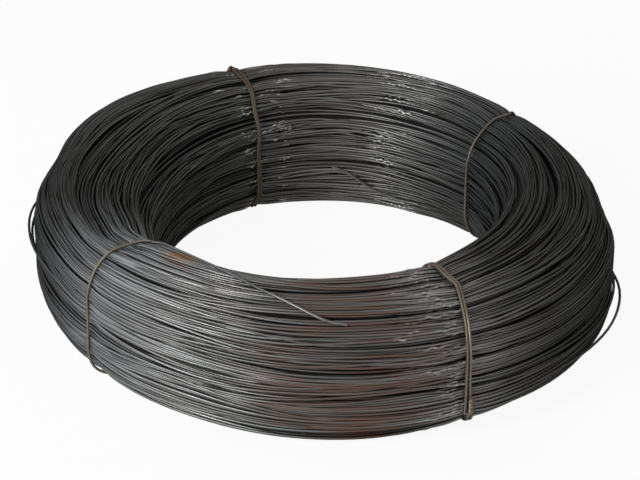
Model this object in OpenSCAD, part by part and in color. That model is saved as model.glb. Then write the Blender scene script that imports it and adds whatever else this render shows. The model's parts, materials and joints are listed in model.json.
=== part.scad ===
// Coil of annealed binding wire, laid flat as it comes off the drawing block
// and held by four wire ties. Millimetres, +Z up, the axis of the coil on Z,
// the floor it lies on at Z = 0.

/* [Coil] */
// Diameter over the outermost turns
outer_diameter = 390; // [340:1:460]
// Diameter of the bore inside the innermost turns
bore_diameter = 232; // [180:1:280]
// Height of the coil as it lies
coil_height = 98; // [80:1:140]
// Radius to which the turns round off the corners of the section, where it is wide enough
corner_radius = 33; // [20:1:36]
// Diameter of the wire in the coil
wire_diameter = 1.8; // [1.4:0.1:3]

/* [Ties] */
// Diameter of the tie wire
tie_diameter = 1.8; // [1.2:0.1:2.6]
// How far the pulled tie lies below the turns beside it
tie_recess = 0.2; // [0.1:0.05:0.6]
// Gap between the tie and the turns that it presses down
tie_clearance = 0.2; // [0.1:0.05:0.4]
// Length of the twisted tail of a tie
twist_length = 12; // [8:1:20]
// Number of turns in the twisted tail
twist_turns = 3; // [2:1:4]
// Place of the back right tie around the coil
back_right_angle = 36; // [26:1:46]
// Place of the back left tie around the coil
back_left_angle = 112; // [102:1:122]
// Place of the front left tie around the coil
front_left_angle = 214; // [204:1:224]
// Place of the front right tie around the coil
front_right_angle = 298; // [288:1:308]

/* [Hidden] */
$fn = 96;

// The section of the coil: a rectangle with round corners, walked anticlockwise
// from the underside of its lower outer corner.
outer_radius = outer_diameter / 2;
bore_radius = bore_diameter / 2;
least_straight = 4 * wire_diameter;
rounding = min(
    corner_radius,
    (outer_radius - bore_radius - least_straight) / 2,
    (coil_height - least_straight) / 2
);
quarter_arc = rounding * PI / 2;
wall_straight = coil_height - 2 * rounding;
end_straight = outer_radius - bore_radius - 2 * rounding;
corner_centres = [
    [outer_radius - rounding, rounding],
    [outer_radius - rounding, coil_height - rounding],
    [bore_radius + rounding, coil_height - rounding],
    [bore_radius + rounding, rounding]
];
// Distance walked at the end of each corner and of the straight after it
outer_side = quarter_arc + wall_straight;
top_side = outer_side + quarter_arc + end_straight;
bore_side = top_side + quarter_arc + wall_straight;
perimeter = bore_side + quarter_arc + end_straight;
corner_starts = [0, outer_side, top_side, bore_side];

// The turns that show: each is a land with a valley to the next, as round
// wires lying side by side have.
turn_count = floor(perimeter / wire_diameter);
turn_pitch = perimeter / turn_count;
valley_half_width = 0.3 * wire_diameter;
valley_depth = 0.3 * wire_diameter;

// Ties: pitch between two wraps side by side, and the seat pressed into the turns
wrap_pitch = tie_diameter + tie_clearance;
seat_depth = tie_recess + tie_diameter + tie_clearance;
seat_margin = 2 * wire_diameter;
tie_depth = tie_recess + tie_diameter / 2;
// Height of a twisted tail above the turns that it lies on
twist_lift = wrap_pitch / 2 + tie_diameter / 2 + tie_clearance;
corner_step = 10;
tie_sides = 8;
rings_per_twist = 8;

SINGLE = 1;
DOUBLE = 2;
// Headings of the section's normal where the ends of a tie are twisted: 0 faces
// outwards, 90 up and 180 into the bore
LOW_OUTSIDE = -40;
WALL_FOOT = -20;
HIGH_OUTSIDE = 50;
LOW_INSIDE = 230;

// Angle, wraps, and the heading at which the two ends are twisted
back_right = [back_right_angle, SINGLE, LOW_OUTSIDE];
back_left = [back_left_angle, DOUBLE, HIGH_OUTSIDE];
front_left = [front_left_angle, SINGLE, LOW_INSIDE];
front_right = [front_right_angle, DOUBLE, WALL_FOOT];
ties = [back_right, back_left, front_left, front_right];

function unit(v) = v / norm(v);
function direction(angle) = [cos(angle), sin(angle)];

// Point of the section at a distance along it, at a depth below the turns
function walked(start, leg, distance, depth) =
    let (into = distance - start, arc = min(into, quarter_arc))
    corner_centres[leg]
        + (rounding - depth) * direction(90 * (leg - 1 + arc / quarter_arc))
        + (into - arc) * direction(90 * (leg + 1));

function section_point(distance, depth) =
    distance < outer_side ? walked(0, 0, distance, depth)
    : distance < top_side ? walked(outer_side, 1, distance, depth)
    : distance < bore_side ? walked(top_side, 2, distance, depth)
    : walked(bore_side, 3, distance, depth);

// The section with all its corners worn down to one depth, as a list of points
function inset_corner(leg, depth) = [
    for (angle = [0 : corner_step : 90])
        corner_centres[leg] + (rounding - depth) * direction(90 * (leg - 1) + angle)
];

function inset_section(depth) = [for (leg = [0 : 3]) each inset_corner(leg, depth)];

// Corner of the section that has a heading, and how far into that corner it is
function corner_of(heading) = floor((heading + 90) / 90);
function into_corner(heading) = heading + 90 - 90 * corner_of(heading);

module turns_section() {
    polygon([
        for (turn = [0 : turn_count - 1])
            let (start = turn * turn_pitch)
            each [
                section_point(start, valley_depth),
                section_point(start + valley_half_width, 0),
                section_point(start + turn_pitch - valley_half_width, 0)
            ]
    ]);
}

// Frame over the section that leaves a shallow seat all round it
module seat_section() {
    difference() {
        translate([bore_radius - seat_margin, -seat_margin])
            square([
                outer_radius - bore_radius + 2 * seat_margin,
                coil_height + 2 * seat_margin
            ]);
        polygon(inset_section(seat_depth));
    }
}

module tie_seat(tie) {
    seat_width = tie[1] * wrap_pitch + tie_diameter + 2 * tie_clearance;
    rotate([90, 0, tie[0]])
        linear_extrude(height = seat_width, center = true)
            seat_section();
}

// A normal carried from one direction of the wire to the next without twisting
function carried(normal, from, to) =
    normal - (normal * to) / (1 + from * to) * (from + to);

module swept_wire(path, diameter, first_normal) {
    last = len(path) - 1;
    along = [for (i = [0 : last]) unit(path[min(i + 1, last)] - path[max(i - 1, 0)])];
    start_normal = unit(first_normal - (first_normal * along[0]) * along[0]);
    normals = [
        for (
            i = 0, normal = start_normal;
            i <= last;
            normal = i < last ? carried(normal, along[i], along[i + 1]) : normal, i = i + 1
        ) normal
    ];
    points = [
        for (i = [0 : last], k = [0 : tie_sides - 1])
            let (turned = direction(360 * k / tie_sides) * diameter / 2)
            path[i] + turned[0] * normals[i] + turned[1] * cross(along[i], normals[i])
    ];
    walls = [
        for (i = [0 : last - 1], k = [0 : tie_sides - 1])
            let (next = (k + 1) % tie_sides)
            [
                i * tie_sides + k, (i + 1) * tie_sides + k,
                (i + 1) * tie_sides + next, i * tie_sides + next
            ]
    ];
    first_cap = [for (k = [0 : tie_sides - 1]) k];
    last_cap = [for (k = [tie_sides - 1 : -1 : 0]) last * tie_sides + k];
    polyhedron(points, concat([first_cap], walls, [last_cap]));
}

// Points of a tie around the section, from its twist back to it. The wraps lie
// side by side, so the wire drifts along the coil as it goes round.
function wrap_points(wraps, heading) =
    let (
        lap = inset_section(tie_depth),
        count = len(lap),
        first = corner_of(heading) * count / 4 + into_corner(heading) / corner_step
    )
    [
        for (step = [0 : wraps * count])
            let (
                point = lap[(first + step) % count],
                drift = (step / count - wraps / 2) * wrap_pitch
            )
            [point[0], drift, point[1]]
    ];

// One strand of the twisted tail, from its root to its tip. The tail is bent
// down on the turns and follows the section towards the nearest wall.
function twist_points(heading, side) =
    let (
        root = corner_starts[corner_of(heading)] + into_corner(heading) / 90 * quarter_arc,
        towards_wall = sign(180 * round(heading / 180) - heading),
        rings = twist_turns * rings_per_twist
    )
    [
        for (ring = [0 : rings])
            let (
                turn = 360 * ring / rings_per_twist,
                lift = twist_lift + side * wrap_pitch / 2 * sin(turn),
                place = section_point(root + towards_wall * twist_length * ring / rings, -lift),
                across = side * wrap_pitch / 2 * cos(turn)
            )
            [place[0], across, place[1]]
    ];

function reversed(points) = [for (i = [len(points) - 1 : -1 : 0]) points[i]];

module tie(tie) {
    path = concat(
        reversed(twist_points(tie[2], -1)),
        wrap_points(tie[1], tie[2]),
        twist_points(tie[2], 1)
    );
    rotate([0, 0, tie[0]])
        swept_wire(path, tie_diameter, [0, 0, 1]);
}

module wire_coil() {
    color("dimgray")
        difference() {
            rotate_extrude() turns_section();
            for (tie = ties) tie_seat(tie);
        }
}

module tie_back_right() { color("rosybrown") tie(back_right); }

module tie_back_left() { color("saddlebrown") tie(back_left); }

module tie_front_left() { color("tan") tie(front_left); }

module tie_front_right() { color("tan") tie(front_right); }

wire_coil();
tie_back_right();
tie_back_left();
tie_front_left();
tie_front_right();
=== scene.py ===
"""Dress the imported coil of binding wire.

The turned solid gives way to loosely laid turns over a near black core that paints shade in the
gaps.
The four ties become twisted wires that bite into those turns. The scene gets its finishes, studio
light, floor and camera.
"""
import json
import logging
import math
from dataclasses import dataclass
from enum import Enum

import bmesh
import bpy
import numpy as np
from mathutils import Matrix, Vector


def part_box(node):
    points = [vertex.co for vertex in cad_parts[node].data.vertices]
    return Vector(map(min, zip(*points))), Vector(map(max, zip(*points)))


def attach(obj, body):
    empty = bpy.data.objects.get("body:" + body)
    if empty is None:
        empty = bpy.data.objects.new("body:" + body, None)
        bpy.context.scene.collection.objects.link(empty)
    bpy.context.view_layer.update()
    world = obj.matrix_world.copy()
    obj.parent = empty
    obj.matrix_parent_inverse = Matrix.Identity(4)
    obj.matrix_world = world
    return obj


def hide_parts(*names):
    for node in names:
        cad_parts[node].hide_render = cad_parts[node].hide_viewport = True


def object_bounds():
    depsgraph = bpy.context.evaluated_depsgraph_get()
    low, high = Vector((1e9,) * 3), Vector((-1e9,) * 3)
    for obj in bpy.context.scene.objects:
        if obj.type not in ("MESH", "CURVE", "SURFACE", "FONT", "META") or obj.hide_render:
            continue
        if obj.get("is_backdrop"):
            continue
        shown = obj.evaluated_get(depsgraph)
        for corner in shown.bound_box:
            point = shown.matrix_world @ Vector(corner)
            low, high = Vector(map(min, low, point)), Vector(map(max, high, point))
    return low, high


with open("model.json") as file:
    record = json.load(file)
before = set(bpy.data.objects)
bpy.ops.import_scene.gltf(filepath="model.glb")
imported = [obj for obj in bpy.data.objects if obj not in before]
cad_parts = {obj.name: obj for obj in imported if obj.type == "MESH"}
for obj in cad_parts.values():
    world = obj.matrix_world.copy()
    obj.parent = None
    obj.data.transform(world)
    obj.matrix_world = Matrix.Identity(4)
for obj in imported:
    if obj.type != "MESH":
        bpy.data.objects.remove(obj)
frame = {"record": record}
CAD_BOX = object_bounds()
LOG = logging.getLogger("coil")

MM = 0.001
BODY = "root"
BAKE_MAP = "OFBake"
RECORD_MOUNTS = {mount["name"]: mount for mount in frame["record"]["mounts"]}

# Sizes of the part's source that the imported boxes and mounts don't give.
CORNER_RADIUS = 33.0 * MM
WIRE_DIAMETER = 1.8 * MM

Colour = tuple[float, float, float]


class Place(Enum):
    """Places on the coil's section: a leg, a share of its corner and a share of its straight."""

    LOW_OUTSIDE = (0, 5 / 9, 0.0)
    WALL_FOOT = (0, 7 / 9, 0.0)
    OUTER_WALL = (0, 1.0, 0.5)
    HIGH_OUTSIDE = (1, 5 / 9, 0.0)
    CROWN = (1, 1.0, 0.5)
    INNER_RIM = (2, 1 / 3, 0.0)
    BORE_WALL = (2, 1.0, 0.5)
    LOW_INSIDE = (3, 5 / 9, 0.0)


class Fold(Enum):
    """Which way along the section's walk a tie's twisted tail is folded."""

    ONWARD = 1
    BACK = -1


def mm(*lengths: float) -> tuple[float, ...]:
    """Lengths given in millimetres, in metres."""
    return tuple(length * MM for length in lengths)


def smooth_round(values: np.ndarray, passes: int) -> np.ndarray:
    """Average values with their neighbours round the coil.

    Args:
        values: one row for each station round the coil.
        passes: how often to average.

    Returns:
        The averaged values.
    """
    for _ in range(passes):
        values = 0.5 * values + 0.25 * (np.roll(values, 1, 0) + np.roll(values, -1, 0))
    return values


def angle_between(angles: np.ndarray, middle: float) -> np.ndarray:
    """Signed angles in degrees from middle, between -180 and 180."""
    return (angles - middle + 180.0) % 360.0 - 180.0


def bump_round(angles: np.ndarray, middle: float, width: float) -> np.ndarray:
    """A smooth bump of height one round the coil, about as wide either way as width, in degrees."""
    return np.exp(-((angle_between(angles, middle) / width) ** 2))


@dataclass(frozen=True)
class Wave:
    """A wave round the coil: its size, the angle of a crest in degrees, and how many crests."""

    size: float
    angle: float
    crests: int

    def height(self, angles: np.ndarray) -> np.ndarray:
        """Height of the wave at angles in degrees."""
        return self.size * np.cos(self.crests * np.radians(angles - self.angle))


@dataclass(frozen=True)
class Zone:
    """A stretch round the coil where something is more or less, in degrees, and by how much."""

    angle: float
    width: float
    level: float

    def height(self, angles: np.ndarray) -> np.ndarray:
        """What the zone adds at angles in degrees."""
        return self.level * bump_round(angles, self.angle, self.width)


@dataclass
class Section:
    """The coil's section, a rectangle with round corners, walked anticlockwise from underneath.

    All lengths are in metres.
    """

    bore_radius: float
    outer_radius: float
    height: float
    corner_radius: float

    def __post_init__(self) -> None:
        """Work out the corners and the distance at which each leg of the walk starts."""
        low, high = self.corner_radius, self.height - self.corner_radius
        near, far = self.bore_radius + self.corner_radius, self.outer_radius - self.corner_radius
        self.corners = np.array([(far, low), (far, high), (near, high), (near, low)])
        self.quarter = self.corner_radius * math.pi / 2
        self.straights = np.array([high - low, far - near, high - low, far - near])
        ends = np.cumsum(self.straights + self.quarter)
        self.starts = np.concatenate([[0.0], ends[:-1]])
        self.perimeter = float(ends[-1])

    def mark(self, place: Place) -> float:
        """Distance along the walk of a named place."""
        leg, corner, straight = place.value
        return float(self.starts[leg] + corner * self.quarter + straight * self.straights[leg])

    def point(
        self, along: np.ndarray, depth: np.ndarray
    ) -> tuple[np.ndarray, np.ndarray, np.ndarray]:
        """Find points of the section.

        Args:
            along: distances along the walk.
            depth: depths below the outermost turns.

        Returns:
            Radius, height and the angle of the outward normal in radians.
        """
        walked = np.mod(along, self.perimeter)
        leg = np.searchsorted(self.starts, walked, side="right") - 1
        into = walked - self.starts[leg]
        arc = np.minimum(into, self.quarter)
        normal = (leg - 1 + arc / self.quarter) * math.pi / 2
        onward = (leg + 1) * math.pi / 2
        reach = self.corner_radius - depth
        radius = self.corners[leg, 0] + reach * np.cos(normal) + (into - arc) * np.cos(onward)
        height = self.corners[leg, 1] + reach * np.sin(normal) + (into - arc) * np.sin(onward)
        return radius, height, normal


@dataclass
class TieSite:
    """Where a tie holds the coil, and how it is wrapped and twisted.

    Angle and slant are in degrees. The paleness and bent are shares: how pale the tie is, partly
    from rubbing and partly painted light and shade by the side of the coil it sits on, and how
    unevenly it lies. Slack is how far it stands off the lower outer edge, in metres.
    """

    node: str
    angle: float
    slant: float
    wraps: int
    twist: Place
    fold: Fold
    wear: float
    bent: float
    slack: float = 0.0


# Tie paleness by site: partly rubbing, partly painted light and shade, pale at the front and dark
# at the back left.
TIE_SITES = (
    TieSite(
        "tie_back_right", angle=36.0, slant=3.0, wraps=1,
        twist=Place.LOW_OUTSIDE, fold=Fold.ONWARD, wear=0.4, bent=0.3,
    ),
    TieSite(
        "tie_back_left", angle=112.0, slant=-1.5, wraps=2,
        twist=Place.HIGH_OUTSIDE, fold=Fold.BACK, wear=0.1, bent=1.0,
    ),
    TieSite(
        "tie_front_left", angle=216.5, slant=-1.0, wraps=1,
        twist=Place.LOW_INSIDE, fold=Fold.BACK, wear=0.8, bent=0.2, slack=1.4 * MM,
    ),
    TieSite(
        "tie_front_right", angle=300.8, slant=-3.6, wraps=2,
        twist=Place.WALL_FOOT, fold=Fold.ONWARD, wear=0.7, bent=0.2,
    ),
)


@dataclass
class Lie:
    """How the coil departs from a true ring: out of round, dented, drawn in at its ties.

    Lengths are in metres, angles and widths round the coil in degrees.
    """

    section: Section
    outer_waves: tuple[Wave, ...] = (
        Wave(4.0 * MM, 179.0, 1),
        Wave(11.0 * MM, 134.0, 2),
        Wave(2.4 * MM, 3.0, 3),
    )
    outer_dents: tuple[Zone, ...] = (
        Zone(0.0, 7.0, -3.5 * MM),
        Zone(138.0, 13.0, 4.0 * MM),
        Zone(163.0, 8.0, -4.5 * MM),
        Zone(242.0, 16.0, -4.0 * MM),
    )
    foot_spread: float = 4.0 * MM
    bore_waves: tuple[Wave, ...] = (
        Wave(2.1 * MM, 28.0, 1),
        Wave(4.0 * MM, 59.0, 2),
        Wave(3.0 * MM, 119.0, 3),
    )
    bore_fill: float = 2.3 * MM
    rim_pulls: tuple[Zone, ...] = (Zone(194.0, 24.0, 12.0 * MM), Zone(210.0, 6.0, 6.0 * MM))
    crown_waves: tuple[Wave, ...] = (Wave(1.5 * MM, 146.0, 1), Wave(1.5 * MM, 83.0, 2))
    crown_sink: float = 1.5 * MM
    tie_bite: float = 1.3 * MM
    tie_bite_width: float = 2.2
    bite_width_base: float = 0.7
    bite_width_per_wrap: float = 0.3
    tie_waist: float = 0.9 * MM
    tie_waist_width: float = 13.0
    swell: float = 0.6 * MM
    swell_slope: float = 2.0

    def tie_angle(self, site: TieSite, normal: np.ndarray) -> np.ndarray:
        """Angle in degrees at which a slanting tie crosses the section where it faces normal."""
        return site.angle + site.slant * np.cos(normal)

    def press(self, angles: np.ndarray, normal: np.ndarray) -> np.ndarray:
        """How far the ties hold the turns in. Between ties all but the underside swells out.

        Args:
            angles: angles round the coil in degrees.
            normal: angles of the section's outward normal in radians.

        Returns:
            Depths below the true ring.
        """
        held = np.zeros(np.broadcast(angles, normal).shape)
        for site in TIE_SITES:
            crossing = self.tie_angle(site, normal)
            widening = self.bite_width_base + self.bite_width_per_wrap * site.wraps
            held += self.tie_bite * bump_round(angles, crossing, self.tie_bite_width * widening)
            held += self.tie_waist * bump_round(angles, crossing, self.tie_waist_width)
        free_to_swell = np.clip(1.0 + self.swell_slope * np.sin(normal), 0.0, 1.0)
        return held - self.swell * free_to_swell

    def rim_pull(self, angles: np.ndarray, radius: np.ndarray, height: np.ndarray) -> np.ndarray:
        """How far the inner rim is pulled outwards, less towards the outer wall and the floor.

        Args:
            angles: angles round the coil in degrees.
            radius: radii on the true ring.
            height: heights on the true ring.

        Returns:
            Steps outwards.
        """
        section = self.section
        inner_share = (section.outer_radius - radius) / (section.outer_radius - section.bore_radius)
        upper_share = height / section.height
        pull = sum(zone.height(angles) for zone in self.rim_pulls)
        return pull * np.clip(inner_share, 0.0, 1.0) * np.clip(upper_share, 0.0, 1.0)

    def departure(
        self, angles: np.ndarray, radius: np.ndarray, height: np.ndarray, normal: np.ndarray
    ) -> tuple[np.ndarray, np.ndarray]:
        """How far the coil departs from a true ring.

        Args:
            angles: angles round the coil in degrees.
            radius: radii on the true ring.
            height: heights on the true ring.
            normal: angles of the section's outward normal in radians.

        Returns:
            Departures in radius and in height.
        """
        inward = self.press(angles, normal)
        facing_out = np.clip(np.cos(normal), 0.0, 1.0)
        facing_in = np.clip(-np.cos(normal), 0.0, 1.0)
        facing_up = np.clip(np.sin(normal), 0.0, 1.0)
        outer = sum(bend.height(angles) for bend in self.outer_waves + self.outer_dents)
        outer = outer - self.foot_spread * np.sin(normal)
        inner = sum(wave.height(angles) for wave in self.bore_waves) - self.bore_fill
        crown = sum(wave.height(angles) for wave in self.crown_waves) - self.crown_sink
        in_radius = facing_out * outer + facing_in * inner - inward * np.cos(normal)
        in_radius = in_radius + self.rim_pull(angles, radius, height)
        in_height = facing_up * crown - inward * np.sin(normal)
        return in_radius, in_height

    def place(self, angles: np.ndarray, along: np.ndarray, depth: np.ndarray) -> np.ndarray:
        """Place points of the section round the coil.

        Args:
            angles: angles round the coil in degrees.
            along: distances along the section's walk.
            depth: depths below the outermost turns.

        Returns:
            Points, with x, y and z on the last axis.
        """
        radius, height, normal = self.section.point(along, depth)
        in_radius, in_height = self.departure(angles, radius, height, normal)
        radius = radius + in_radius
        turned = np.radians(angles)
        across, back = radius * np.cos(turned), radius * np.sin(turned)
        return np.stack([across, back, height + in_height], axis=-1)


@dataclass
class Tubes:
    """Round wires as one joined mesh, swept along their paths."""

    radius: float
    sides: int
    closed: bool
    strip_margin: float = 0.05

    def rings(self, paths: np.ndarray, guides: np.ndarray) -> np.ndarray:
        """Rings of points round each path.

        Args:
            paths: wires by stations by x, y and z.
            guides: directions that the rings start from, shaped as the paths.

        Returns:
            Wires by stations by sides by x, y and z.
        """
        if self.closed:
            along = np.roll(paths, -1, 1) - np.roll(paths, 1, 1)
        else:
            along = np.gradient(paths, axis=1)
        along /= np.linalg.norm(along, axis=-1, keepdims=True)
        first = guides - (guides * along).sum(-1, keepdims=True) * along
        first /= np.linalg.norm(first, axis=-1, keepdims=True)
        second = np.cross(along, first)
        turn = 2 * math.pi * np.arange(self.sides) / self.sides
        ring = np.cos(turn)[:, None] * first[:, :, None, :]
        ring = ring + np.sin(turn)[:, None] * second[:, :, None, :]
        return paths[:, :, None, :] + self.radius * ring

    def mesh(
        self, name: str, paths: np.ndarray, guides: np.ndarray, traits: dict[str, np.ndarray]
    ) -> bpy.types.Mesh:
        """Build the joined mesh, with a map that lays each wire out as a strip of its own.

        Args:
            name: name of the mesh.
            paths: wires by stations by x, y and z.
            guides: directions that the rings start from.
            traits: values by name, wires by stations, kept as attributes of the points.

        Returns:
            The new mesh.
        """
        wires, stations = paths.shape[:2]
        spans = stations if self.closed else stations - 1
        points = self.rings(paths, guides).reshape(-1, 3)
        wire, span, side = np.indices((wires, spans, self.sides))
        ahead, beside = (span + 1) % stations, (side + 1) % self.sides

        def index(at_span: np.ndarray, at_side: np.ndarray) -> np.ndarray:
            """Numbers of the points at these spans and sides."""
            return (wire * stations + at_span) * self.sides + at_side

        here = index(span, side), index(span, beside)
        there = index(ahead, beside), index(ahead, side)
        quads = np.stack([*here, *there], axis=-1).reshape(-1, 4)
        mesh = bpy.data.meshes.new(name)
        mesh.vertices.add(len(points))
        mesh.vertices.foreach_set("co", points.astype(np.float32).ravel())
        mesh.loops.add(quads.size)
        mesh.loops.foreach_set("vertex_index", quads.astype(np.int32).ravel())
        mesh.polygons.add(len(quads))
        mesh.polygons.foreach_set("loop_start", np.arange(0, quads.size, 4, dtype=np.int32))
        mesh.polygons.foreach_set("use_smooth", np.ones(len(quads), dtype=bool))
        self.lay_out(mesh, wire, span, side)
        for trait, values in traits.items():
            layer = mesh.attributes.new(trait, "FLOAT", "POINT")
            by_point = np.repeat(values.ravel(), self.sides)
            layer.data.foreach_set("value", by_point.astype(np.float32))
        mesh.update(calc_edges=True)
        if not self.closed:
            self.close_ends(mesh)
        mesh.validate()
        return mesh

    def lay_out(
        self, mesh: bpy.types.Mesh, wire: np.ndarray, span: np.ndarray, side: np.ndarray
    ) -> None:
        """Give each wire a strip of the map, as long as the map is wide.

        Args:
            mesh: the mesh, with its faces.
            wire: number of the wire, by face.
            span: number of the span along its wire, by face.
            side: number of the side round its wire, by face.
        """
        wires, spans = wire.shape[:2]
        strip = 1.0 - 2 * self.strip_margin
        left, right = span / spans, (span + 1) / spans
        low = (wire + self.strip_margin + strip * side / self.sides) / wires
        high = (wire + self.strip_margin + strip * (side + 1) / self.sides) / wires
        corners = np.stack([left, low, left, high, right, high, right, low], axis=-1)
        layer = mesh.uv_layers.new(name=BAKE_MAP)
        layer.data.foreach_set("uv", corners.astype(np.float32).ravel())

    def close_ends(self, mesh: bpy.types.Mesh) -> None:
        """Close the cut ends of open wires.

        Args:
            mesh: the mesh of the open wires.
        """
        shape = bmesh.new()
        shape.from_mesh(mesh)
        rims = [edge for edge in shape.edges if edge.is_boundary]
        caps = bmesh.ops.holes_fill(shape, edges=rims, sides=self.sides)["faces"]
        bmesh.ops.recalc_face_normals(shape, faces=caps)
        shape.to_mesh(mesh)
        shape.free()


class Nodes:
    """A short way to add and join the nodes of one tree."""

    # Where a colour Mix node has its share and its two colours, and where its result.
    MIX_INPUTS = (0, 6, 7)
    MIX_RESULT = 2

    def __init__(self, tree: bpy.types.NodeTree) -> None:
        """Keep the tree."""
        self.tree = tree

    def add(self, kind: str, **settings: object) -> bpy.types.Node:
        """Add a node.

        Args:
            kind: the node's type.
            **settings: its settings by name.

        Returns:
            The node.
        """
        node = self.tree.nodes.new(kind)
        for name, value in settings.items():
            setattr(node, name, value)
        return node

    def join(self, source: bpy.types.NodeSocket, target: bpy.types.NodeSocket) -> None:
        """Join two sockets."""
        self.tree.links.new(source, target)

    def feed(self, slot: bpy.types.NodeSocket, value: object) -> None:
        """Give an input what it works on.

        Args:
            slot: the input.
            value: a socket to join it to, a colour or a number.
        """
        if isinstance(value, bpy.types.NodeSocket):
            self.join(value, slot)
        elif isinstance(value, tuple):
            slot.default_value = (*value, 1.0)
        else:
            slot.default_value = value

    def math(
        self, operation: str, first: object, second: object, clamp: bool = False
    ) -> bpy.types.NodeSocket:
        """Work on two numbers.

        Args:
            operation: what to do with them.
            first: a number or a socket.
            second: a number or a socket.
            clamp: keep the result between nought and one.

        Returns:
            The result.
        """
        node = self.add("ShaderNodeMath", operation=operation, use_clamp=clamp)
        self.feed(node.inputs[0], first)
        self.feed(node.inputs[1], second)
        return node.outputs[0]

    def blend(self, share: object, first: object, second: object) -> bpy.types.NodeSocket:
        """Mix two colours.

        Args:
            share: share of the second one, a number or a socket.
            first: a colour or a socket.
            second: a colour or a socket.

        Returns:
            The mixed colour.
        """
        node = self.add("ShaderNodeMix", data_type="RGBA", blend_type="MIX")
        for place, value in zip(self.MIX_INPUTS, (share, first, second)):
            self.feed(node.inputs[place], value)
        return node.outputs[self.MIX_RESULT]

    def trait(self, name: str) -> bpy.types.NodeSocket:
        """Read a named value of the mesh's points."""
        return self.add("ShaderNodeAttribute", attribute_name=name).outputs["Fac"]

    def noise(
        self, place: bpy.types.NodeSocket, scale: float, detail: float
    ) -> bpy.types.NodeSocket:
        """Add a noise pattern.

        Args:
            place: where it is read.
            scale: how fine it is.
            detail: how many finer layers it has.

        Returns:
            Its value.
        """
        node = self.add("ShaderNodeTexNoise")
        node.inputs["Scale"].default_value = scale
        node.inputs["Detail"].default_value = detail
        self.join(place, node.inputs["Vector"])
        return node.outputs["Fac"]

    def step(self, value: bpy.types.NodeSocket, low: float, high: float) -> bpy.types.NodeSocket:
        """Spread a value over nought to one, smoothly.

        Args:
            value: the value.
            low: what becomes nought.
            high: what becomes one.

        Returns:
            The spread value.
        """
        node = self.add("ShaderNodeMapRange", interpolation_type="SMOOTHSTEP")
        node.inputs["From Min"].default_value = low
        node.inputs["From Max"].default_value = high
        self.join(value, node.inputs["Value"])
        return node.outputs["Result"]


@dataclass(frozen=True)
class Oxide:
    """The oxide pattern that all the wires share: worn stretches, rust streaks and fine grain."""

    name: str = "oxide_on_wire"
    wire_stride: float = 97.0
    worn_scale: float = 22.0
    worn_detail: float = 3.0
    worn_from: float = 0.3
    worn_to: float = 0.75
    streak_scale: float = 12.0
    streak_share: float = 0.6
    patch_scale: float = 11.0
    patch_share: float = 0.4
    rust_detail: float = 2.0
    rust_from: float = 0.38
    rust_to: float = 0.62
    grain_scale: float = 2400.0
    grain_detail: float = 2.0

    def sockets(self) -> bpy.types.NodeTree:
        """Start the group with its named inputs and outputs.

        Returns:
            The group, still empty.
        """
        tree = bpy.data.node_groups.new(self.name, "ShaderNodeTree")
        for label in ("Wire", "Run"):
            tree.interface.new_socket(label, in_out="INPUT", socket_type="NodeSocketFloat")
        tree.interface.new_socket("Object", in_out="INPUT", socket_type="NodeSocketVector")
        for label in ("Worn", "Rust", "Grain"):
            tree.interface.new_socket(label, in_out="OUTPUT", socket_type="NodeSocketFloat")
        return tree

    def group(self) -> bpy.types.NodeTree:
        """Build the group once.

        Returns:
            A group that takes a wire's number, the distance along it and the place on the coil,
            and puts out a mask of paler worn stretches, a mask of rust and a mask of fine grain.
        """
        if self.name in bpy.data.node_groups:
            return bpy.data.node_groups[self.name]
        tree = self.sockets()
        nodes = Nodes(tree)
        given = nodes.add("NodeGroupInput")
        result = nodes.add("NodeGroupOutput")
        along = nodes.add("ShaderNodeCombineXYZ")
        nodes.join(given.outputs["Run"], along.inputs[0])
        apart = nodes.math("MULTIPLY", given.outputs["Wire"], self.wire_stride)
        nodes.join(apart, along.inputs[1])
        worn = nodes.noise(along.outputs[0], self.worn_scale, self.worn_detail)
        worn = nodes.step(worn, self.worn_from, self.worn_to)
        nodes.join(worn, result.inputs["Worn"])
        streak = nodes.noise(along.outputs[0], self.streak_scale, self.rust_detail)
        streak = nodes.math("MULTIPLY", streak, self.streak_share)
        patch = nodes.noise(given.outputs["Object"], self.patch_scale, self.rust_detail)
        patch = nodes.math("MULTIPLY", patch, self.patch_share)
        rust = nodes.step(nodes.math("ADD", streak, patch), self.rust_from, self.rust_to)
        nodes.join(rust, result.inputs["Rust"])
        grain = nodes.noise(given.outputs["Object"], self.grain_scale, self.grain_detail)
        nodes.join(grain, result.inputs["Grain"])
        return tree


OXIDE = Oxide()


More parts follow.
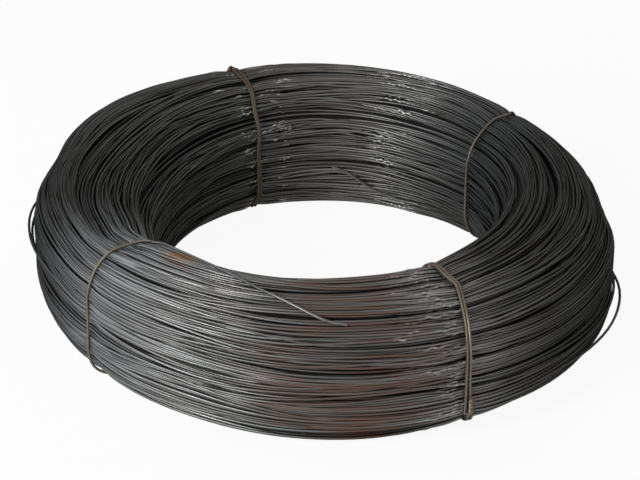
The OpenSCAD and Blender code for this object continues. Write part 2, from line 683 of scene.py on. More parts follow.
@dataclass(frozen=True)
class WireFinish:
    """Finish of an annealed wire: dark oxide, paler where it is worn and where light is painted on,
    darker where shade is painted, rusty where it is damp, brighter at painted glints.
    """

    name: str
    dark: Colour
    pale: Colour
    # Pale colour at the crinkles: partly rubbing, partly a painted glint.
    rub_glint_colour: Colour
    rust: Colour
    metal: float
    smooth_roughness: float
    dull_roughness: float
    gloss: float = 0.02
    edge_gloss: float = 0.12
    stain: Colour | None = None
    least_tone: float = 0.2
    tone_by_wire: float = 0.45
    tone_by_wear: float = 0.5
    rust_roughness: float = 0.25
    grain_strength: float = 0.25
    grain_height: float = 0.1 * MM

    def oxide(self, nodes: Nodes) -> bpy.types.Node:
        """Place the shared oxide pattern in a material.

        Args:
            nodes: the material's nodes.

        Returns:
            The pattern's node.
        """
        coordinates = nodes.add("ShaderNodeTexCoord")
        group = nodes.add("ShaderNodeGroup", node_tree=OXIDE.group())
        nodes.join(nodes.trait("wire"), group.inputs["Wire"])
        nodes.join(nodes.trait("run"), group.inputs["Run"])
        nodes.join(coordinates.outputs["Object"], group.inputs["Object"])
        return group

    def tone(self, nodes: Nodes, oxide: bpy.types.Node) -> bpy.types.NodeSocket:
        """How pale the wire is: by wire, by worn stretches, and by a level round the coil that
        paints light and shade.

        Args:
            nodes: the material's nodes.
            oxide: the oxide pattern's node.

        Returns:
            Nought for dark oxide to one for pale metal.
        """
        by_wire = nodes.math("MULTIPLY", nodes.trait("wire"), self.tone_by_wire)
        by_wear = nodes.math("MULTIPLY", oxide.outputs["Worn"], self.tone_by_wear)
        tone = nodes.math("ADD", nodes.math("ADD", by_wire, self.least_tone), by_wear)
        # This level paints light and shade by angle round the coil, with some wearing.
        return nodes.math("MULTIPLY", tone, nodes.trait("wear"), clamp=True)

    def material(self) -> bpy.types.Material:
        """Build the node material once.

        Returns:
            The material of this finish.
        """
        if self.name in bpy.data.materials:
            return bpy.data.materials[self.name]
        material = bpy.data.materials.new(self.name)
        material.use_nodes = True
        nodes = Nodes(material.node_tree)
        shader = material.node_tree.nodes["Principled BSDF"]
        edge = self.edge_gloss
        shader.inputs["Metallic"].default_value = self.metal
        shader.inputs["Specular IOR Level"].default_value = self.gloss
        shader.inputs["Specular Tint"].default_value = (edge, edge, edge, 1.0)
        oxide = self.oxide(nodes)
        tone = self.tone(nodes, oxide)
        # The crinkle level paints glints: it pulls the colour towards the pale crinkle colour.
        shine = nodes.trait("shine")
        rusted = nodes.math("MULTIPLY", oxide.outputs["Rust"], nodes.trait("damp"))
        colour = nodes.blend(tone, self.dark, self.pale)
        colour = nodes.blend(rusted, colour, self.rust)
        colour = nodes.blend(shine, colour, self.rub_glint_colour)
        if self.stain is not None:
            colour = nodes.blend(nodes.trait("stain"), colour, self.stain)
        nodes.join(colour, shader.inputs["Base Color"])
        polish = nodes.math("MAXIMUM", tone, shine)
        rough = nodes.math("MULTIPLY", polish, self.smooth_roughness - self.dull_roughness)
        rough = nodes.math("ADD", rough, self.dull_roughness)
        rusty = nodes.math("MULTIPLY", rusted, self.rust_roughness)
        nodes.join(nodes.math("ADD", rough, rusty, clamp=True), shader.inputs["Roughness"])
        bump = nodes.add("ShaderNodeBump")
        bump.inputs["Strength"].default_value = self.grain_strength
        bump.inputs["Distance"].default_value = self.grain_height
        nodes.join(oxide.outputs["Grain"], bump.inputs["Height"])
        nodes.join(bump.outputs["Normal"], shader.inputs["Normal"])
        return material


@dataclass(frozen=True)
class DullFinish:
    """One plain dull colour."""

    name: str
    colour: Colour
    roughness: float
    gloss: float = 0.1

    def material(self) -> bpy.types.Material:
        """Build the material once.

        Returns:
            The material of this finish.
        """
        if self.name in bpy.data.materials:
            return bpy.data.materials[self.name]
        material = bpy.data.materials.new(self.name)
        material.use_nodes = True
        shader = material.node_tree.nodes["Principled BSDF"]
        shader.inputs["Base Color"].default_value = (*self.colour, 1.0)
        shader.inputs["Roughness"].default_value = self.roughness
        shader.inputs["Specular IOR Level"].default_value = self.gloss
        return material


ANNEALED = WireFinish(
    "oxidised_turns",
    dark=(0.0228, 0.0238, 0.0207),
    pale=(0.286, 0.294, 0.288),
    # The pale crinkle colour paints glints as well as rubbing.
    rub_glint_colour=(0.39, 0.39, 0.38),
    rust=(0.122, 0.077, 0.061),
    metal=0.75,
    smooth_roughness=0.31,
    dull_roughness=0.5,
    stain=(0.27, 0.146, 0.064),
)
TIE_STEEL = WireFinish(
    "pulled_tie",
    dark=(0.055, 0.045, 0.032),
    pale=(0.34, 0.3, 0.24),
    rub_glint_colour=(0.5, 0.48, 0.44),
    rust=(0.13, 0.092, 0.056),
    metal=0.6,
    smooth_roughness=0.34,
    dull_roughness=0.5,
)
# A near black core finish: painted shade in the gaps between the turns.
SHADE_CORE_FINISH = DullFinish("core_painted_shade", colour=(0.012, 0.012, 0.012), roughness=0.95)


def add_piece(mesh: bpy.types.Mesh, material: bpy.types.Material) -> bpy.types.Object:
    """Add a mesh to the scene as a piece of the coil.

    Args:
        mesh: the piece's mesh, named as the piece.
        material: its finish.

    Returns:
        The new object, riding on the coil's body.
    """
    piece = bpy.data.objects.new(mesh.name, mesh)
    bpy.context.collection.objects.link(piece)
    mesh.materials.append(material)
    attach(piece, BODY)
    LOG.info("%s: %d faces", piece.name, len(mesh.polygons))
    return piece


@dataclass
class LooseTurn:
    """A turn that stands off the coil over part of its way round.

    Angle and reach are in degrees, offset along the section and stand_off in metres.
    """

    place: Place
    offset: float
    angle: float
    reach: float
    stand_off: float


@dataclass
class WireEnd:
    """A free wire that crosses the turns: angle, place, offset and lift at each station."""

    stations: tuple[tuple[float, Place, float, float], ...]


@dataclass
class Kink:
    """Crinkles across the turns, paled by rubbing and by a painted glint.

    Angle, scatter and length are in degrees, share is how many of the turns have one.
    """

    angle: float
    scatter: float
    length: float
    share: float


@dataclass
class Turns:
    """The loosely laid turns that show, as bundles that wander, part and close up.

    Lengths are in metres unless a name ends in mm, angles and widths round the coil in degrees.
    """

    lie: Lie
    wire_diameter: float
    seed: int = 11
    sides: int = 6
    loose_sides: int = 8
    pieces: int = 5

    # Stations round the coil, closer together where the turns bend most.
    stations: int = 208
    fine_stations: int = 3601
    kink_closeness: float = 2.5
    kink_margin: float = 1.3
    tie_closeness: float = 1.0
    tie_margin: float = 4.0

    # Bundles of turns on top, and the turns under them that show in the gaps.
    slots: int = 64
    slot_jitter: float = 0.3
    empty_share: float = 0.3
    wires_in_bundle: int = 5
    bundle_spread: float = 4.2 * MM
    bundle_depth_mm: tuple[float, float] = (1.0, 2.3)
    bundle_swings: tuple[float, ...] = mm(2.8, 2.2, 1.8, 1.3, 0.9)
    bundle_sinks: tuple[float, ...] = mm(0.9, 0.9, 0.7, 0.5)
    wire_depth_mm: tuple[float, float] = (-0.6, 1.8)
    wire_swings: tuple[float, ...] = mm(1.2, 1.1, 0.9, 0.8, 0.6, 0.4)
    wire_sinks: tuple[float, ...] = mm(0.6, 0.6, 0.5, 0.4)
    under_turns: int = 130
    under_depth: float = 5.4 * MM
    under_stray_mm: float = 0.6
    under_swings: tuple[float, ...] = mm(1.6, 1.2, 0.9, 0.7)
    under_sinks: tuple[float, ...] = mm(0.4, 0.4, 0.3)
    swing_range: tuple[float, float] = (0.4, 1.3)
    tie_hold: float = 0.45
    tie_hold_width: float = 11.0

    # How the turns settle beside and on each other.
    relax_rounds: int = 36
    relax_reach: int = 11
    relax_share: float = 0.7
    least_gap: float = 1e-9
    side_smoothing: int = 8
    depth_smoothing: int = 4

    # Paleness by angle round the coil, which is painted light and shade with some wearing, then
    # damp and the rust coloured stain on the inner rim.
    least_wear_and_light: float = 0.14
    wear_and_light_zones: tuple[Zone, ...] = (
        Zone(230.0, 23.0, 0.84),
        Zone(278.0, 26.0, 0.25),
        Zone(294.0, 12.0, 0.55),
        Zone(80.0, 32.0, 0.42),
        Zone(138.0, 25.0, 0.07),
    )
    least_damp: float = 0.06
    damp_zones: tuple[Zone, ...] = (Zone(275.0, 23.0, 0.92), Zone(92.0, 20.0, 0.3))
    stain_angle: float = 229.8
    stain_width: float = 4.0
    stain_reach: float = 8.6 * MM
    stain_offset: float = -4.6 * MM
    stain_edge: int = 4

    # Crinkles where the coil was handled, with painted glints on them.
    kinks: tuple[Kink, ...] = (
        Kink(67.0, 4.5, 3.4, 0.45),
        Kink(104.0, 2.0, 1.8, 0.45),
        Kink(116.0, 2.0, 1.8, 0.45),
        Kink(288.0, 3.0, 2.2, 0.3),
        Kink(294.0, 1.6, 1.8, 0.7),
    )
    kink_lengths: tuple[float, float] = (0.6, 1.3)
    kink_strengths: tuple[float, float] = (0.4, 1.0)
    kink_depth: float = 2.5
    crinkle_pitch: float = 3.0
    crinkle_size: float = 0.8 * MM
    crinkle_lift: float = 0.6 * MM

    # Turns that stand off the coil, and free ends that cross the others.
    loose: tuple[LooseTurn, ...] = (
        LooseTurn(Place.OUTER_WALL, 8.0 * MM, 180.0, 15.0, 4.5 * MM),
        LooseTurn(Place.OUTER_WALL, 5.0 * MM, 182.0, 12.0, 2.5 * MM),
        LooseTurn(Place.OUTER_WALL, -22.0 * MM, 347.0, 22.0, 6.5 * MM),
        LooseTurn(Place.OUTER_WALL, -15.0 * MM, 345.0, 22.0, 2.0 * MM),
    )
    loose_swings: tuple[float, ...] = mm(1.2, 0.9, 0.7)
    loose_smoothing: int = 2
    ends: tuple[WireEnd, ...] = (
        WireEnd((
            (213.0, Place.CROWN, 22.0 * MM, -3.0 * MM),
            (218.0, Place.CROWN, 22.0 * MM, 0.0 * MM),
            (224.0, Place.CROWN, 21.5 * MM, 0.8 * MM),
            (236.0, Place.CROWN, 16.0 * MM, 0.7 * MM),
            (249.0, Place.CROWN, 5.5 * MM, 0.6 * MM),
            (258.0, Place.HIGH_OUTSIDE, 21.0 * MM, 0.5 * MM),
            (267.0, Place.HIGH_OUTSIDE, 6.5 * MM, 0.4 * MM),
            (271.0, Place.HIGH_OUTSIDE, 0.8 * MM, 0.2 * MM),
            (274.5, Place.HIGH_OUTSIDE, 0.0 * MM, -2.0 * MM),
        )),
        WireEnd((
            (87.0, Place.BORE_WALL, 6.0 * MM, 1.8 * MM),
            (82.0, Place.BORE_WALL, 10.0 * MM, 0.7 * MM),
            (74.0, Place.BORE_WALL, 21.0 * MM, 0.5 * MM),
            (64.0, Place.BORE_WALL, 29.0 * MM, -0.4 * MM),
            (56.0, Place.BORE_WALL, 32.0 * MM, -3.0 * MM),
        )),
    )
    end_roundings: int = 9
    end_tone: float = 0.9
    end_run: float = 0.3
    end_wear: float = 0.45
    end_damp: float = 0.2

    def __post_init__(self) -> None:
        """Set out the stations and start the seeded draws."""
        self.angles = self.set_out()
        self.draw = np.random.default_rng(self.seed)
        self.radius = self.wire_diameter / 2
        self.perimeter = self.lie.section.perimeter

    def set_out(self) -> np.ndarray:
        """Set out the stations, closest at the kinks and at the ties.

        Returns:
            Their angles in degrees.
        """
        fine = np.linspace(0.0, 360.0, self.fine_stations)
        close = np.ones_like(fine)
        for kink in self.kinks:
            width = self.kink_margin * kink.scatter + kink.length
            close += self.kink_closeness * bump_round(fine, kink.angle, width)
        for site in TIE_SITES:
            close += self.tie_closeness * bump_round(fine, site.angle, self.tie_margin)
        walked = np.concatenate([[0.0], np.cumsum(close[1:])])
        return np.interp(np.arange(self.stations) * walked[-1] / self.stations, walked, fine)

    def wander(self, count: int, swings: tuple[float, ...]) -> np.ndarray:
        """Smooth random swings round the coil, closed on themselves.

        Args:
            count: how many wires or bundles.
            swings: size of the swing with one wave round the coil, with two, and so on.

        Returns:
            Stations by count.
        """
        total = np.zeros((self.stations, count))
        turned = np.radians(self.angles)[:, None]
        for waves, swing in enumerate(swings, start=1):
            phase = self.draw.uniform(0.0, 2 * math.pi, count)
            size = swing * self.draw.uniform(*self.swing_range, count)
            total += size * np.cos(waves * turned + phase)
        return total

    def held(self) -> np.ndarray:
        """Share of their wander that the turns keep, least at the ties.

        Returns:
            Stations by one.
        """
        free = np.ones(self.stations)
        for site in TIE_SITES:
            free -= self.tie_hold * bump_round(self.angles, site.angle, self.tie_hold_width)
        return free[:, None]

    def spaced(self, numbers: np.ndarray, count: int) -> np.ndarray:
        """Draw places along the section.

        Args:
            numbers: numbers of the slots that are taken.
            count: how many slots go round the section.

        Returns:
            Distances along the section, one for each number.
        """
        jitter = self.draw.uniform(-self.slot_jitter, self.slot_jitter, len(numbers))
        return (numbers + jitter) * self.perimeter / count

    def lay_bundles(self) -> tuple[np.ndarray, np.ndarray]:
        """Lay the upper turns bundle by bundle, with some slots left empty.

        Returns:
            Distance along the section and depth, stations by wires.
        """
        slots = np.flatnonzero(self.draw.random(self.slots) >= self.empty_share)
        bundles = len(slots)
        middle = self.spaced(slots, self.slots)
        depth = self.draw.uniform(*self.bundle_depth_mm, bundles) * MM
        swing = self.wander(bundles, self.bundle_swings) * self.held()
        sink = self.wander(bundles, self.bundle_sinks)
        wires = bundles * self.wires_in_bundle
        along = np.repeat(middle + swing, self.wires_in_bundle, axis=1)
        along = along + self.draw.uniform(-self.bundle_spread, self.bundle_spread, wires)
        along = along + self.wander(wires, self.wire_swings) * self.held()
        down = np.repeat(depth + sink, self.wires_in_bundle, axis=1)
        down = down + self.draw.uniform(*self.wire_depth_mm, wires) * MM
        down = down + self.wander(wires, self.wire_sinks)
        return along, down

    def lay_under(self) -> tuple[np.ndarray, np.ndarray]:
        """Lay the turns that show in the gaps between the bundles, evenly.

        Returns:
            Distance along the section and depth, stations by wires.
        """
        wires = self.under_turns
        along = self.spaced(np.arange(wires), wires)
        along = along + self.wander(wires, self.under_swings) * self.held()
        stray = self.draw.uniform(-self.under_stray_mm, self.under_stray_mm, wires) * MM
        down = self.under_depth + stray
        down = down + self.wander(wires, self.under_sinks)
        return along, down

    def lay(self) -> tuple[np.ndarray, np.ndarray]:
        """Lay all the turns that show and let them settle.

        Returns:
            Distance along the section and depth, stations by wires.
        """
        along, down = self.lay_bundles()
        under_along, under_down = self.lay_under()
        return self.relax(np.hstack([along, under_along]), np.hstack([down, under_down]))

    def relax(self, along: np.ndarray, down: np.ndarray) -> tuple[np.ndarray, np.ndarray]:
        """Push crossing turns apart until they lie beside and on each other.

        Args:
            along: distance along the section, stations by wires.
            down: depth, stations by wires.

        Returns:
            The two, relaxed.
        """
        rows = np.arange(self.stations)[:, None]
        for _ in range(self.relax_rounds):
            order = np.argsort(np.mod(along, self.perimeter), axis=1)
            side = np.mod(along, self.perimeter)[rows, order]
            low = down[rows, order]
            push_side, push_low = np.zeros_like(side), np.zeros_like(low)
            for other in range(1, self.relax_reach + 1):
                apart = np.mod(np.roll(side, -other, 1) - side, self.perimeter)
                under = np.roll(low, -other, 1) - low
                far = np.sqrt(apart**2 + under**2) + self.least_gap
                share = 0.5 * np.clip(self.wire_diameter - far, 0.0, None) / far
                push_side += np.roll(share * apart, other, 1) - share * apart
                push_low += np.roll(share * under, other, 1) - share * under
            moved_side, moved_low = np.empty_like(side), np.empty_like(low)
            moved_side[rows, order] = push_side
            moved_low[rows, order] = push_low
            along = along + self.relax_share * smooth_round(moved_side, 1)
            down = down + self.relax_share * smooth_round(moved_low, 1)
            down = np.maximum(down, self.radius)
        along = smooth_round(along, self.side_smoothing)
        down = smooth_round(down, self.depth_smoothing)
        return along, np.maximum(down, self.radius)

    def kinked(self, down: np.ndarray) -> tuple[np.ndarray, np.ndarray, np.ndarray]:
        """Crinkles where the coil was handled, and where a glint is painted on them.

        Args:
            down: depth, stations by wires.

        Returns:
            Side step, rise and the painted glint level, stations by wires.
        """
        wires = down.shape[1]
        bend, rise, shine = (np.zeros(down.shape) for _ in range(3))
        for kink in self.kinks:
            middle = kink.angle + self.draw.normal(0.0, kink.scatter, wires)
            length = kink.length * self.draw.uniform(*self.kink_lengths, wires)
            chosen = self.draw.random(wires) < kink.share
            strength = chosen * self.draw.uniform(*self.kink_strengths, wires)
            phase = self.draw.uniform(0.0, 2 * math.pi, wires)
            away = angle_between(self.angles[:, None], middle)
            spot = strength * np.exp(-((away / length) ** 2))
            crinkle = np.sin(2 * math.pi * away / self.crinkle_pitch + phase)
            bend += spot * crinkle
            rise = np.maximum(rise, spot)
            shine = np.maximum(shine, spot * crinkle**2)
        on_top = down < self.kink_depth * self.wire_diameter
        return self.crinkle_size * bend, self.crinkle_lift * rise * on_top, shine * on_top

    def paths(self, along: np.ndarray, down: np.ndarray) -> tuple[np.ndarray, np.ndarray]:
        """Lead turns round the coil, none of them below the floor.

        Args:
            along: distance along the section, stations by wires.
            down: depth, stations by wires.

        Returns:
            Paths and their guides, wires by stations by x, y and z.
        """
        angles = np.broadcast_to(self.angles[:, None], along.shape)
        points = self.lie.place(angles, along, down)
        points[..., 2] = np.maximum(points[..., 2], self.radius)
        turned = np.radians(angles)
        guides = np.stack([np.cos(turned), np.sin(turned), np.zeros_like(turned)], axis=-1)
        return points.transpose(1, 0, 2), guides.transpose(1, 0, 2)

    def zoned(self, zones: tuple[Zone, ...], least: float) -> np.ndarray:
        """Level of something round the coil.

        Args:
            zones: where there is more of it.
            least: its level elsewhere.

        Returns:
            The level by station, between nought and one.
        """
        level = np.full(self.stations, least)
        for zone in zones:
            level += zone.height(self.angles)
        return np.clip(level, 0.0, 1.0)

    def stain(self, along: np.ndarray) -> np.ndarray:
        """How far the turns are stained by rust on the inner rim.

        Args:
            along: distance along the section, stations by wires.

        Returns:
            Stations by wires.
        """
        middle = self.lie.section.mark(Place.INNER_RIM) + self.stain_offset
        from_rim = (np.mod(along, self.perimeter) - middle) / self.stain_reach
        from_angle = angle_between(self.angles, self.stain_angle) / self.stain_width
        near_angle = np.exp(-(from_angle**self.stain_edge))[:, None]
        return np.exp(-(from_rim**self.stain_edge)) * near_angle

    def traits(self, along: np.ndarray, shine: np.ndarray) -> dict[str, np.ndarray]:
        """Values that the finish reads, wires by stations.

        Args:
            along: distance along the section, stations by wires.
            shine: the painted glint level at the crinkles, partly rubbing, stations by wires.

        Returns:
            The wire's number, the distance along it, its paleness by angle (painted light and shade
            with some wearing), its painted glint level, the damp and the stain.
        """
        wires = along.shape[1]
        every_wire = np.ones((wires, 1))
        number = self.draw.random(wires)[:, None]
        return {
            "wire": np.broadcast_to(number, (wires, self.stations)),
            "run": np.radians(self.angles) * self.lie.section.outer_radius * every_wire,
            "wear": self.zoned(self.wear_and_light_zones, self.least_wear_and_light) * every_wire,
            "shine": shine.T,
            "damp": self.zoned(self.damp_zones, self.least_damp) * every_wire,
            "stain": self.stain(along).T,
        }

    def build(self) -> None:
        """Build the turns in a few pieces, then the loose ones and the free ends."""
        along, down = self.lay()
        step, rise, shine = self.kinked(down)
        along, down = along + step, down - rise
        order = np.argsort(np.mod(along, self.perimeter).mean(axis=0))
        tubes = Tubes(self.radius, self.sides, closed=True)
        for part, wires in enumerate(np.array_split(order, self.pieces), start=1):
            paths, guides = self.paths(along[:, wires], down[:, wires])
            traits = self.traits(along[:, wires], shine[:, wires])
            mesh = tubes.mesh(f"turns_{part}", paths, guides, traits)
            add_piece(mesh, ANNEALED.material())
        self.build_loose()
        self.build_ends()

    def build_loose(self) -> None:
        """Build the turns that stand off the coil, as one piece."""
        shape = (self.stations, len(self.loose))
        along, down = np.zeros(shape), np.zeros(shape)
        for number, turn in enumerate(self.loose):
            off = np.abs(angle_between(self.angles, turn.angle)) / turn.reach
            along[:, number] = self.lie.section.mark(turn.place) + turn.offset
            down[:, number] = self.radius - turn.stand_off * np.exp(-(off**3))
        along += self.wander(len(self.loose), self.loose_swings)
        paths, guides = self.paths(along, smooth_round(down, self.loose_smoothing))
        traits = self.traits(along, np.zeros(shape))
        tubes = Tubes(self.radius, self.loose_sides, closed=True)
        mesh = tubes.mesh("loose_turns", paths, guides, traits)
        add_piece(mesh, ANNEALED.material())

    def build_ends(self) -> None:
        """Build the free ends that cross the other turns, as one piece."""
        section = self.lie.section
        share = np.linspace(0.0, 1.0, self.stations)
        all_paths, all_guides = [], []
        for end in self.ends:
            given = np.array([
                (angle, section.mark(place) + offset, lift)
                for angle, place, offset, lift in end.stations
            ])
            stops = np.linspace(0.0, 1.0, len(given))
            angle, along, lift = (
                self.eased(np.interp(share, stops, column)) for column in given.T
            )
            turned = np.radians(angle)
            guide = [np.cos(turned), np.sin(turned), np.ones_like(turned)]
            all_paths.append(self.lie.place(angle, along, -self.radius - lift))
            all_guides.append(np.stack(guide, axis=-1))
        paths, guides = np.array(all_paths), np.array(all_guides)
        shape = paths.shape[:2]
        traits = {
            "wire": np.full(shape, self.end_tone),
            "run": np.broadcast_to(share, shape) * self.end_run,
            "wear": np.full(shape, self.end_wear),
            "shine": np.zeros(shape),
            "damp": np.full(shape, self.end_damp),
            "stain": np.zeros(shape),
        }
        tubes = Tubes(self.radius, self.loose_sides, closed=False)
        mesh = tubes.mesh("wire_ends", paths, guides, traits)
        add_piece(mesh, ANNEALED.material())

    def eased(self, values: np.ndarray) -> np.ndarray:
        """Round off the corners of a broken line, with its two ends kept.

        Args:
            values: the line, by station.

        Returns:
            The rounded line.
        """
        window = self.stations // self.end_roundings
        padded = np.pad(values, window, mode="reflect", reflect_type="odd")
        kernel = np.hanning(2 * window + 1)
        return np.convolve(padded, kernel / kernel.sum(), mode="valid")


@dataclass
class Core:
    """The mass of turns under those that show, near black as painted shade in the gaps."""

    lie: Lie
    depth: float = 7.2 * MM
    profile_points: int = 48
    steps: int = 96
    weld: float = 0.01 * MM

    def settle(self, point: bmesh.types.BMVert) -> None:
        """Move a point of the true ring to where the coil's departures put it.

        Args:
            point: the point.
        """
        angle = math.atan2(point.co.y, point.co.x)
        outward = Vector((math.cos(angle), math.sin(angle), 0.0))
        normal = math.atan2(point.normal.z, point.normal.dot(outward))
        given = (math.degrees(angle), point.co.dot(outward), point.co.z, normal)
        in_radius, in_height = self.lie.departure(*(np.array(value) for value in given))
        point.co += float(in_radius) * outward + Vector((0.0, 0.0, float(in_height)))

    def build(self) -> None:
        """Turn the sunk section about the axis and settle it, in place of the turned solid."""
        section = self.lie.section
        along = np.linspace(0.0, section.perimeter, self.profile_points, endpoint=False)
        radius, height, _ = section.point(along, np.full_like(along, self.depth))
        shape = bmesh.new()
        ring = [shape.verts.new((r, 0.0, z)) for r, z in zip(radius, height)]
        edges = [shape.edges.new(pair) for pair in zip(ring, ring[1:] + ring[:1])]
        bmesh.ops.spin(
            shape, geom=ring + edges, cent=(0, 0, 0), axis=(0, 0, 1), angle=2 * math.pi,
            steps=self.steps, use_merge=True,
        )
        bmesh.ops.remove_doubles(shape, verts=shape.verts, dist=self.weld)
        bmesh.ops.recalc_face_normals(shape, faces=shape.faces)
        shape.normal_update()
        for point in shape.verts:
            self.settle(point)
        for face in shape.faces:
            face.smooth = True
        mesh = bpy.data.meshes.new("coil_core")
        shape.to_mesh(mesh)
        shape.free()
        # Its near black finish is painted shade.
        piece = add_piece(mesh, SHADE_CORE_FINISH.material())
        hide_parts("wire_coil")


@dataclass(frozen=True)
class Bend:
    """A sway of a tie on its way round: how far, in diameters, and how often in a lap."""

    size: float
    count: float

    def aside(self, laps: np.ndarray, phase: float) -> np.ndarray:
        """Step to the side after a number of laps, in diameters."""
        return self.size * np.sin(2 * math.pi * self.count * laps + phase)


@dataclass
class Tie:
    """A tie wire pulled round the coil, its two ends twisted into a tail that lies on the turns.

    The lift, the pitch and the reach are in diameters of the wire, other lengths in metres.
    """

    lie: Lie
    site: TieSite
    diameter: float
    twist_length: float = 12.0 * MM
    twist_turns: float = 3.0
    slack_length: float = 18.0 * MM
    wrap_lift: float = 0.3
    wrap_pitch: float = 1.6
    wrap_sway: Bend = Bend(0.25, 1.6)
    wrap_bends: tuple[Bend, ...] = (Bend(0.4, 7.0), Bend(0.3, 11.0))
    tail_lift: float = 1.5
    strand_reach: float = 0.52
    lap_points: int = 96
    twist_points: int = 42
    sides: int = 10
    tone: float = 0.6
    damp: float = 0.7

    def place(self, along: np.ndarray, depth: np.ndarray, aside: np.ndarray) -> np.ndarray:
        """Place points on the tie's way round the section.

        Args:
            along: distances along the section's walk.
            depth: depths below the outermost turns.
            aside: steps to the side, along the coil.

        Returns:
            The points.
        """
        section = self.lie.section
        _, _, normal = section.point(along, np.zeros_like(along))
        angle = self.lie.tie_angle(self.site, normal) + np.degrees(aside / section.outer_radius)
        return self.lie.place(angle, along, depth)

    def wrap(self) -> np.ndarray:
        """Lead the tie round the section, from its twist and back to it.

        Returns:
            The points.
        """
        site, section = self.site, self.lie.section
        half_way = section.perimeter / 2
        laps = np.linspace(0.0, site.wraps, site.wraps * self.lap_points + 1)
        along = section.mark(site.twist) + laps * section.perimeter
        from_slack = along - section.mark(Place.LOW_OUTSIDE) + half_way
        from_slack = np.mod(from_slack, section.perimeter) - half_way
        stand_off = site.slack * np.exp(-((from_slack / self.slack_length) ** 2))
        depth = -self.wrap_lift * self.diameter - stand_off
        drift = (laps - site.wraps / 2) * self.wrap_pitch * self.diameter
        sway = self.wrap_sway.aside(laps, site.angle)
        sway = sway + site.bent * sum(bend.aside(laps, site.angle) for bend in self.wrap_bends)
        return self.place(along, depth, drift + self.diameter * sway)

    def tail(self, side: int) -> np.ndarray:
        """One strand of the twisted tail, from its root to its tip.

        Args:
            side: 1 or -1, for the two strands.

        Returns:
            The strand's points.
        """
        share = np.linspace(0.0, 1.0, self.twist_points)
        turn = 2 * math.pi * self.twist_turns * share
        reach = side * self.strand_reach * self.diameter
        onward = self.site.fold.value * self.twist_length * share
        along = self.lie.section.mark(self.site.twist) + onward
        depth = -self.tail_lift * self.diameter - reach * np.sin(turn)
        return self.place(along, depth, reach * np.cos(turn))

    def build(self) -> None:
        """Build the tie's wire as one piece that stands for its node."""
        path = np.concatenate([self.tail(-1)[::-1], self.wrap(), self.tail(1)])[None]
        shape = path.shape[:2]
        turned = math.radians(self.site.angle)
        guide = np.array([-math.sin(turned), math.cos(turned), 0.0])
        steps = np.linalg.norm(np.diff(path[0], axis=0), axis=1)
        traits = {
            "wire": np.full(shape, self.tone),
            "run": np.concatenate([[0.0], np.cumsum(steps)])[None],
            "wear": np.full(shape, self.site.wear),
            "shine": np.zeros(shape),
            "damp": np.full(shape, self.damp),
        }
        tubes = Tubes(self.diameter / 2, self.sides, closed=False)
        guides = np.broadcast_to(guide, path.shape)
        mesh = tubes.mesh(f"{self.site.node}_wire", path, guides, traits)
        piece = add_piece(mesh, TIE_STEEL.material())
        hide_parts(self.site.node)


@dataclass(frozen=True)
class Lamp:
    """A soft square lamp: where it stands, how wide it is, its power and its colour."""

    name: str
    place: tuple[float, float, float]
    size: float
    power: float
    colour: Colour = (1.0, 1.0, 1.0)


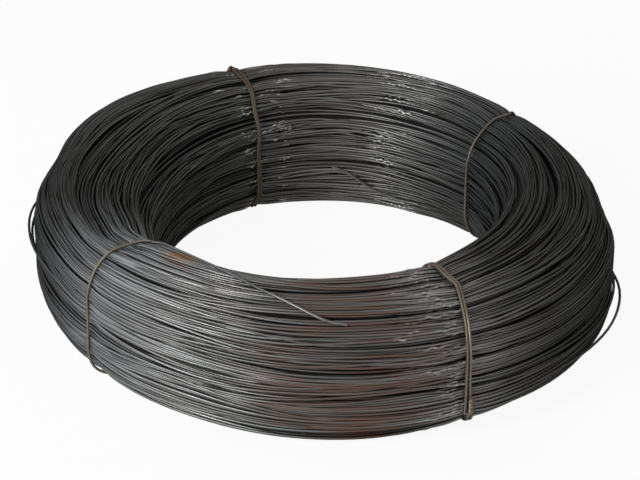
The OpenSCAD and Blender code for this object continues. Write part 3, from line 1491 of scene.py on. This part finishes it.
@dataclass
class Studio:
    """Pale floor, soft light from the left and the photograph's camera."""

    middle: Vector
    outer_radius: float
    elevation: float = 29.4
    distance_in_radii: float = 9.0
    pixels_per_radius: float = 286.4
    image_width: int = 640
    image_height: int = 480
    middle_pixel: tuple[float, float] = (324.0, 236.8)
    sensor: float = 36.0
    lamps: tuple[Lamp, ...] = (
        Lamp("key_lamp", (-1.6, -1.5, 1.2), size=0.7, power=58.0),
        Lamp("back_lamp", (0.9, 1.6, 1.7), size=0.8, power=9.0),
        Lamp("side_lamp", (-2.0, 0.7, 1.2), size=0.9, power=11.0, colour=(0.5, 0.66, 1.0)),
    )
    ambient: float = 0.16
    white: tuple[float, float, float, float] = (1.0, 1.0, 1.0, 1.0)
    floor_colour: Colour = (0.86, 0.86, 0.86)
    floor_roughness: float = 0.9
    floor_glow: float = 0.93
    floor_radii: float = 60.0
    floor_segments: int = 96

    def build_camera(self) -> None:
        """Place the camera so that the coil's middle falls on its pixel."""
        data = bpy.data.cameras.new("camera")
        data.sensor_width = self.sensor
        radii_wide = self.pixels_per_radius * self.distance_in_radii
        data.lens = radii_wide * self.sensor / self.image_width
        data.shift_x = (self.image_width / 2 - self.middle_pixel[0]) / self.image_width
        data.shift_y = (self.middle_pixel[1] - self.image_height / 2) / self.image_width
        camera = bpy.data.objects.new("camera", data)
        tilt = math.radians(self.elevation)
        away = Vector((0.0, -math.cos(tilt), math.sin(tilt)))
        camera.location = self.middle + self.distance_in_radii * self.outer_radius * away
        camera.rotation_euler = (-away).to_track_quat("-Z", "Y").to_euler()
        bpy.context.collection.objects.link(camera)
        bpy.context.scene.camera = camera

    def build_lamp(self, lamp: Lamp) -> None:
        """Add a lamp that faces the coil.

        Args:
            lamp: the lamp.
        """
        data = bpy.data.lights.new(lamp.name, "AREA")
        data.size = lamp.size
        data.energy = lamp.power
        data.color = lamp.colour
        stand = bpy.data.objects.new(lamp.name, data)
        stand.location = lamp.place
        towards = self.middle - Vector(lamp.place)
        stand.rotation_euler = towards.to_track_quat("-Z", "Y").to_euler()
        bpy.context.collection.objects.link(stand)

    def seen(self, nodes: Nodes) -> bpy.types.NodeSocket:
        """Tell the rays that show the background as it is: the camera's, gloss and glass.

        Args:
            nodes: nodes of the floor or the world.

        Returns:
            One for these rays, nought for the others.
        """
        path = nodes.add("ShaderNodeLightPath")
        camera, gloss = path.outputs["Is Camera Ray"], path.outputs["Is Glossy Ray"]
        either = nodes.math("MAXIMUM", camera, gloss)
        return nodes.math("MAXIMUM", either, path.outputs["Is Transmission Ray"])

    def build_world(self) -> None:
        """Give a white background and a low even light."""
        world = bpy.data.worlds.new("studio")
        world.use_nodes = True
        nodes = Nodes(world.node_tree)
        backdrop = world.node_tree.nodes["Background"]
        backdrop.inputs["Color"].default_value = self.white
        strength = nodes.math("MULTIPLY", self.seen(nodes), 1.0 - self.ambient)
        strength = nodes.math("ADD", strength, self.ambient)
        nodes.join(strength, backdrop.inputs["Strength"])
        bpy.context.scene.world = world

    def floor_material(self) -> bpy.types.Material:
        """Build a pale floor that keeps the coil's shadow and shows nearly white.

        Returns:
            The material.
        """
        material = bpy.data.materials.new("studio_floor")
        material.use_nodes = True
        nodes = Nodes(material.node_tree)
        shader = material.node_tree.nodes["Principled BSDF"]
        shader.inputs["Base Color"].default_value = (*self.floor_colour, 1.0)
        shader.inputs["Roughness"].default_value = self.floor_roughness
        glow = nodes.add("ShaderNodeEmission")
        glow.inputs["Color"].default_value = self.white
        both = nodes.add("ShaderNodeMixShader")
        nodes.join(nodes.math("MULTIPLY", self.seen(nodes), self.floor_glow), both.inputs[0])
        nodes.join(shader.outputs[0], both.inputs[1])
        nodes.join(glow.outputs[0], both.inputs[2])
        surface = material.node_tree.nodes["Material Output"].inputs["Surface"]
        nodes.join(both.outputs[0], surface)
        return material

    def build_floor(self) -> None:
        """Lay the floor."""
        shape = bmesh.new()
        bmesh.ops.create_circle(
            shape, cap_ends=True, segments=self.floor_segments,
            radius=self.floor_radii * self.outer_radius,
        )
        mesh = bpy.data.meshes.new("floor")
        shape.to_mesh(mesh)
        shape.free()
        mesh.materials.append(self.floor_material())
        floor = bpy.data.objects.new("floor", mesh)
        bpy.context.collection.objects.link(floor)
        floor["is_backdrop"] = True

    def build(self) -> None:
        """Build the whole stage."""
        bpy.context.scene.view_settings.view_transform = "Standard"
        self.build_camera()
        for lamp in self.lamps:
            self.build_lamp(lamp)
        self.build_world()
        self.build_floor()


def coil_section() -> Section:
    """Take the section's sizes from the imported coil.

    Returns:
        The section.
    """
    low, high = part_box("wire_coil")
    return Section(
        bore_radius=RECORD_MOUNTS["bore"]["dims"]["r_mm"] * MM,
        outer_radius=0.5 * (high[0] - low[0]),
        height=high[2] - low[2],
        corner_radius=CORNER_RADIUS,
    )


def write_sizes() -> None:
    """Work out the box of the solids and the box of the dressed coil."""
    boxes = {"cad": CAD_BOX, "visual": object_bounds()}
    plain = {name: [[float(x) for x in corner] for corner in box] for name, box in boxes.items()}


def main() -> None:
    """Build the coil, its ties and the studio, and report each piece."""
    logging.basicConfig(level=logging.INFO, format="%(name)s: %(message)s")
    section = coil_section()
    lie = Lie(section)
    Studio(Vector((0.0, 0.0, section.height / 2)), section.outer_radius).build()
    Core(lie).build()
    Turns(lie, WIRE_DIAMETER).build()
    for site in TIE_SITES:
        Tie(lie, site, WIRE_DIAMETER).build()
    write_sizes()


if __name__ == "__main__":
    main()
